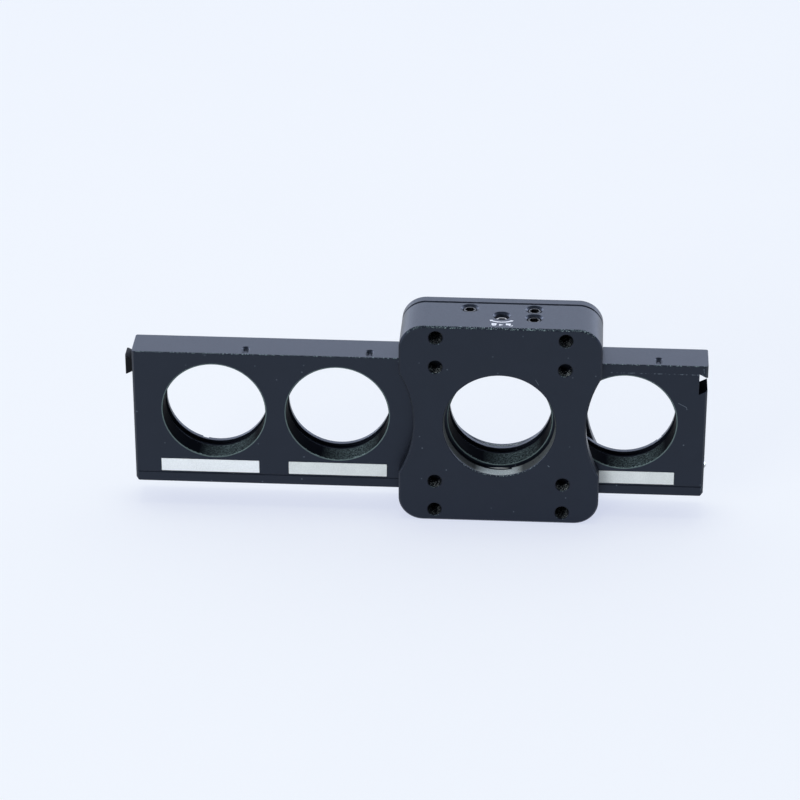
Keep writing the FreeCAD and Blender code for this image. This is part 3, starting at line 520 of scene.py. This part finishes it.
class MOUNT_OT_stage(bpy.types.Operator):
    """Lay the floor and set up the light tent, the lights and the camera"""
    bl_idname = "mount.stage"
    bl_label = "Studio"

    CAMERA_PLACE = Vector((18.06, -686.87, 362.78)) * MM
    CAMERA_TARGET = Vector((-23.14, 0, 6.22)) * MM
    SENSOR_WIDTH = 36
    NEAREST = 0.05  # nearest distance that the camera shows
    FLOOR_SIZE = 6.0
    # Name, place, width, height, radiance, colour, and whether it lights matt surfaces as well.
    SOFTBOXES = [("key_softbox", (-0.05, 0.08, 1.3), 0.42, 0.42, 7.8, "#F1F5FF", True),
                 ("front_softbox", (-1.1, -1.5, 0.5), 1.0, 0.6, 8.0, "#F4F7FF", True),
                 ("back_reflector", (0.1, 1.7, 0.95), 3.0, 1.1, 1.5, "#DAE5FF", False),
                 ("left_reflector", (-1.5, 0.75, 0.4), 2.0, 0.8, 5.0, "#DAE5FF", False),
                 ("right_reflector", (1.5, 0.75, 0.4), 2.0, 0.8, 5.0, "#DAE5FF", False)]
    TENT_BRIGHT = (0, 0.94, 0.34)  # direction of the tent's brightest part
    TENT_LIMITS = (-0.3, 0.6)  # how far towards it the tent is at its front and back brightness

    def execute(self, context):
        stage = context.scene.mount_stage
        self.lay_floor()
        context.scene.world = self.hang_tent(stage)
        for *softbox, matt in self.SOFTBOXES:
            self.add_light(*softbox).visible_diffuse = matt
        camera = bpy.data.cameras.new("camera")
        camera.sensor_width = self.SENSOR_WIDTH
        camera.lens = stage.lens
        camera.clip_start = self.NEAREST
        viewer = bpy.data.objects.new("camera", camera)
        viewer.location = self.CAMERA_PLACE
        viewer.rotation_euler = camera_turn(self.CAMERA_PLACE, self.CAMERA_TARGET)
        context.scene.collection.objects.link(viewer)
        context.scene.camera = viewer
        context.scene.view_settings.view_transform = "Standard"
        return {"FINISHED"}

    def hang_tent(self, stage):
        """A light tent that is bright low behind the object and dim above the camera."""
        world = bpy.data.worlds.new("light_tent")
        world.use_nodes = True
        tree = world.node_tree
        toward = along(tree, add_node(tree, "TexCoord").outputs["Generated"], self.TENT_BRIGHT)
        level = rises(tree, toward, *self.TENT_LIMITS, stage.tent_front, stage.tent_back)
        tree.links.new(level, tree.nodes["Background"].inputs["Strength"])
        tree.nodes["Background"].inputs["Color"].default_value = (*stage.tent, 1)
        return world

    def lay_floor(self):
        mesh = bmesh.new()
        drop = Matrix.Translation((0, 0, HOUSING_LOW.z))
        bmesh.ops.create_grid(mesh, x_segments=1, y_segments=1, size=self.FLOOR_SIZE, matrix=drop)
        data = bpy.data.meshes.new("floor")
        mesh.to_mesh(data)
        mesh.free()
        data.materials.append(paper_sweep("paper_sweep"))
        floor = bpy.data.objects.new("floor", data)
        bpy.context.scene.collection.objects.link(floor)

    def add_light(self, name, place, width, height, radiance, colour):
        """A softbox that faces the object. Its power is its radiance times pi and its area."""
        light = bpy.data.lights.new(name, "AREA")
        light.shape = "RECTANGLE"
        light.size = width
        light.size_y = height
        light.energy = radiance * math.pi * width * height
        light.color = linear(colour)
        holder = bpy.data.objects.new(name, light)
        holder.location = place
        holder.rotation_euler = camera_turn(Vector(place), Vector((0, 0, 0)))
        bpy.context.scene.collection.objects.link(holder)
        return holder


class MOUNT_OT_finishes(bpy.types.Operator):
    """Give every machined and bought piece its finish"""
    bl_idname = "mount.finishes"
    bl_label = "Finishes"

    # Start, end and half width of each mark on the front faces, in millimetres.
    HOUSING_SCRATCHES = [((8.2, 0, 12.4), (8.9, 0, 11.1), 0.06),
                         ((11.5, 0, -10.0), (11.8, 0, -10.3), 0.12)]
    SLIDER_SCRATCHES = [((41.4, 3.9, 5.3), (43.3, 3.9, 4.3), 0.08),
                        ((43.3, 3.9, 4.3), (43.4, 3.9, 3.7), 0.08)]
    SLIDER_RUBS = [((22.0, 3.9, 12.9), (47.4, 3.9, 12.8), 0.14),
                   ((46.9, 3.9, 14.5), (47.1, 3.9, 13.4), 0.14),
                   ((47.8, 4.0, -1.7), (47.8, 4.0, -4.6), 0.2),
                   ((47.4, 4.0, -16.2), (47.8, 4.0, -18.6), 0.3)]
    SEAM = 0.42 * MM  # half width of the dark seam between housing and cover
    PAST_OUTLINE = 1.1  # the seam's box reaches this many times as far as the housing
    NOTCH_SHADE_DEPTH = 7.0 * MM  # how far the link notch's painted shade, its dull gloss, reaches into a module's right end
    NOTCH_SHADE_SPAN = (7.2 * MM, 13.4 * MM)  # its lower and upper end

    def execute(self, context):
        look = context.scene.mount_finishes
        seam_box = (HOUSING_LOW * self.PAST_OUTLINE, HOUSING_HIGH * self.PAST_OUTLINE)
        for corner, side in zip(seam_box, (-1, 1)):
            corner.y = HOUSING_HIGH.y + side * self.SEAM
        dress_nodes(["housing_body", "rear_cover"],
                    anodised_aluminium("anodised_housing", HOUSING_LOW.y, self.HOUSING_SCRATCHES,
                                       shade_and_seam_boxes=[seam_box]))
        for side, rings in (("left", RINGS[:2]), ("right", RINGS[2:])):
            bores = [sum(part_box(ring), Vector()).x / 2 for ring in rings]
            low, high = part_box(f"module_{side}")
            # Box of the painted shade in the link notch.
            notch = (Vector((high.x - self.NOTCH_SHADE_DEPTH, low.y, self.NOTCH_SHADE_SPAN[0])),
                     Vector((high.x, high.y, self.NOTCH_SHADE_SPAN[1])))
            dress_nodes([f"module_{side}"],
                        anodised_aluminium(f"anodised_module_{side}", MODULE_FRONT,
                                           self.SLIDER_SCRATCHES, self.SLIDER_RUBS, bores,
                                           [notch]))
        dress_nodes(RINGS, anodised_aluminium("anodised_rings", MODULE_FRONT))
        dress_nodes(["cover_screws", "guide_screws", "detent_sleeve", "link_screw_left",
                     "link_screw_right"], black_oxide_steel("black_oxide_steel"))
        dress_nodes(["link_tongue_left", "link_tongue_right"],
                    black_oxide_steel("blackened_tongue", bare=0.02, metallic=0, shine=0.08))
        dress_nodes(["lock_screw"], screw_with_painted_light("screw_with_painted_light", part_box("lock_screw")[1].z))
        dress_nodes(["detent_spring", "catch_spring_left", "catch_spring_right"],
                    turned_metal("spring_wire", look.steel, 0.32))
        dress_nodes(["detent_ball", "catch_ball_left", "catch_ball_right"],
                    turned_metal("polished_ball_steel", look.steel, 0.1))
        dress_nodes(["catch_sleeve_left", "catch_sleeve_right"],
                    turned_metal("turned_brass", look.brass, 0.28))
        dress_nodes(["guide_pads", "lock_pad"], moulded_nylon("natural_nylon"))
        # Painted light: the leftmost label gets the lighter, lit copy of the label colour.
        dress_nodes(LABELS[:1], label_film("lit_label_film", look.lit_label))
        dress_nodes(LABELS[1:], label_film("label_film", look.label))
        return {"FINISHED"}


class MOUNT_OT_tube_threads(bpy.types.Operator):
    """Cut the lens tube threads in the front and rear apertures"""
    bl_idname = "mount.tube_threads"
    bl_label = "Tube Threads"

    STEPS = 120  # for each turn
    ONE_HOLE = 1.0  # a spacing far over the mount's height, for a pattern of one hole
    LIT = 1.4 * MM  # height of the lit part of the thread

    def execute(self, context):
        sizes = context.scene.mount_threads
        for name in ("front_tube_thread", "rear_tube_thread"):
            mount = MOUNTS[name]
            radius = mount["dims"]["r_mm"] * MM
            # Painted highlight: bare cut colour over the lowest, lit part of the aperture's thread.
            material = cut_aluminium(f"cut_{name}", bare=0.9, black=0.25,
                                     lowest=mount["pos_m"][2] - radius, spacing=self.ONE_HOLE,
                                     lit=self.LIT)
            length = mount["dims"]["length_mm"] * MM
            mouth = Vector(mount["pos_m"])
            inward = -Vector(mount["axis"]).y
            ends = sorted((mouth.y, mouth.y + inward * length))
            mesh = bmesh.new()
            add_helix(mesh, radius, sizes.tube_height, sizes.tube_pitch,
                      ends[0] + sizes.run_out, ends[1] - sizes.run_out, mouth, self.STEPS)
            finish_object(name, mesh, material, "housing")
        return {"FINISHED"}


class MOUNT_OT_hole_threads(bpy.types.Operator):
    """Cut the threads of the cage and tie holes in the housing and the cover"""
    bl_idname = "mount.hole_threads"
    bl_label = "Hole Threads"

    STEPS = 24  # for each turn
    FRONT_WALL = 3.7 * MM
    LEAD_IN = 0.12 * MM
    CAGE_BARE_HIGHLIGHT = 0.8  # share of bare metal painted as a highlight on the lowest, lit flanks of the cage holes
    TIE_BARE_HIGHLIGHT = 0.4  # the same of the tie holes

    def execute(self, context):
        self.cut("front_cage_holes", HOUSING_LOW.y, HOUSING_LOW.y + self.FRONT_WALL,
                 self.CAGE_BARE_HIGHLIGHT)
        self.cut("front_tie_holes", HOUSING_LOW.y, HOUSING_HIGH.y, self.TIE_BARE_HIGHLIGHT)
        self.cut("rear_cage_holes", COVER_LOW.y, COVER_HIGH.y, self.CAGE_BARE_HIGHLIGHT)
        self.cut("rear_tie_holes", COVER_LOW.y, COVER_HIGH.y, self.TIE_BARE_HIGHLIGHT)
        return {"FINISHED"}

    def cut(self, name, start, end, bare):
        sizes = bpy.context.scene.mount_threads
        mount = MOUNTS[name]
        spacing = mount["dims"]["spacing_y_mm"] * MM
        radius = mount["dims"]["hole_r_mm"] * MM
        material = cut_aluminium(f"cut_{name}", bare=bare, black=0.5,
                                 lowest=mount["pos_m"][2] - spacing / 2 - radius,
                                 spacing=spacing, lit=radius * 0.7)
        mesh = bmesh.new()
        for middle in hole_middles(mount):
            add_helix(mesh, radius, sizes.hole_height, sizes.hole_pitch,
                      start + self.LEAD_IN, end - self.LEAD_IN, middle, self.STEPS)
        finish_object(f"{name}_threads", mesh, material, "housing")


class MOUNT_OT_lock_mark(bpy.types.Operator):
    """Print a turning arrow, two padlock signs and a small arrow beside the lock screw"""
    bl_idname = "mount.lock_mark"
    bl_label = "Lock Mark"

    ARC = (math.radians(237), math.radians(303))
    ARC_STEPS = 24
    HEAD_HALF_WIDTH = 1.1  # of an arrow head, in widths of the arc's band
    HEAD_LENGTH = 1.6  # the same
    SMALL_ARROW = ((-0.8, -0.8), (0.9, 0), (-0.8, 0.8))  # corners, in half widths of a padlock
    OPENING = 0.5  # how far the open padlock's shackle is moved, in widths of a padlock
    BODY_HALF_HEIGHT = 0.38  # of a padlock, in its widths
    BODY_PLACE = 0.8  # its middle from the sign's, in half heights
    SHACKLE_PLACE = -0.2  # the same of the shackle's ends
    SHACKLE_RADIUS = 0.65  # in half widths of a padlock

    def execute(self, context):
        sizes = context.scene.mount_mark
        low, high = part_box("lock_screw")
        middle = (low + high) / 2
        middle.z = HOUSING_HIGH.z
        mesh = bmesh.new()
        centre = Vector((middle.x, sizes.arc_place + sizes.arc_radius, middle.z))
        self.add_arc(mesh, centre, sizes.arc_radius, *self.ARC, sizes.arc_line)
        for angle, turn in zip(self.ARC, (-1, 1)):
            self.add_arrow_head(mesh, centre, angle, turn)
        place = Vector((middle.x, sizes.lock_place, middle.z))
        apart = Vector((sizes.lock_apart, 0, 0))
        self.add_padlock(mesh, place - apart, 0)
        self.add_print(mesh, [place + Vector((across, up, 0)) * sizes.lock_width / 2
                              for across, up in self.SMALL_ARROW])
        self.add_padlock(mesh, place + apart, sizes.lock_width * self.OPENING)
        finish_object("lock_mark", mesh, printed_ink("white_print"), "housing")
        return {"FINISHED"}

    def add_print(self, mesh, corners):
        """A printed patch of ink with the given corners on the surface."""
        lift = Vector((0, 0, bpy.context.scene.mount_mark.thickness))
        face = mesh.faces.new([mesh.verts.new(corner) for corner in corners])
        grown = bmesh.ops.extrude_face_region(mesh, geom=[face])
        moved = [item for item in grown["geom"] if isinstance(item, bmesh.types.BMVert)]
        bmesh.ops.translate(mesh, verts=moved, vec=lift)

    def add_arc(self, mesh, middle, radius, start, end, line):
        """A printed band of an arc about a middle."""
        ink = bpy.context.scene.mount_mark.thickness
        direction = Vector((math.cos(start), math.sin(start), 0))
        corners = [middle + direction * (radius + side * line / 2) + Vector((0, 0, level))
                   for side, level in ((-1, 0), (1, 0), (1, ink), (-1, ink))]
        section = mesh.faces.new([mesh.verts.new(corner) for corner in corners])
        bmesh.ops.spin(mesh, geom=[section], cent=middle, axis=(0, 0, 1), angle=end - start,
                       steps=self.ARC_STEPS)

    def add_arrow_head(self, mesh, middle, angle, turn):
        """A triangle at an end of the arc that points on along it."""
        sizes = bpy.context.scene.mount_mark
        outward = Vector((math.cos(angle), math.sin(angle), 0))
        onward = Vector((-math.sin(angle), math.cos(angle), 0)) * turn
        base = middle + outward * sizes.arc_radius
        half = outward * sizes.arc_line * self.HEAD_HALF_WIDTH
        tip = base + onward * sizes.arc_line * self.HEAD_LENGTH
        self.add_print(mesh, [base - half, base + half, tip])

    def add_padlock(self, mesh, middle, opening):
        """A padlock sign, upright for a reader behind the mount, its shackle moved to open it."""
        sizes = bpy.context.scene.mount_mark
        half = sizes.lock_width / 2
        tall = sizes.lock_width * self.BODY_HALF_HEIGHT
        self.add_patch(mesh, middle + Vector((0, tall * self.BODY_PLACE, 0)), half, tall)
        shackle = middle + Vector((opening, tall * self.SHACKLE_PLACE, 0))
        self.add_arc(mesh, shackle, half * self.SHACKLE_RADIUS, math.pi, 2 * math.pi, sizes.line)

    def add_patch(self, mesh, middle, half_width, half_height):
        """A printed rectangle about a middle."""
        self.add_print(mesh, [middle + Vector((across * half_width, up * half_height, 0))
                              for across, up in ((-1, -1), (1, -1), (1, 1), (-1, 1))])


class MOUNT_PT_panel(bpy.types.Panel):
    """The pieces of the mount, in the order in which they are made"""
    bl_idname = "MOUNT_PT_panel"
    bl_label = "Filter Mount"
    bl_space_type = "VIEW_3D"
    bl_region_type = "UI"
    bl_category = "Filter Mount"

    def draw(self, context):
        for operator in OPERATORS:
            self.layout.operator(operator.bl_idname)


GROUPS = {"mount_finishes": MountFinishes, "mount_threads": MountThreads,
          "mount_mark": MountMark, "mount_stage": MountStage}
OPERATORS = [MOUNT_OT_stage, MOUNT_OT_finishes, MOUNT_OT_tube_threads, MOUNT_OT_hole_threads,
             MOUNT_OT_lock_mark]


def register():
    for name, group in GROUPS.items():
        bpy.utils.register_class(group)
        setattr(bpy.types.Scene, name, bpy.props.PointerProperty(type=group))
    for item in [*OPERATORS, MOUNT_PT_panel]:
        bpy.utils.register_class(item)


def unregister():
    for item in [MOUNT_PT_panel, *reversed(OPERATORS)]:
        bpy.utils.unregister_class(item)
    for name, group in GROUPS.items():
        delattr(bpy.types.Scene, name)
        bpy.utils.unregister_class(group)


def main():
    register()
    bpy.ops.mount.stage()
    bpy.ops.mount.finishes()
    bpy.ops.mount.tube_threads()
    bpy.ops.mount.hole_threads()
    bpy.ops.mount.lock_mark()


if __name__ == "__main__":
    main()
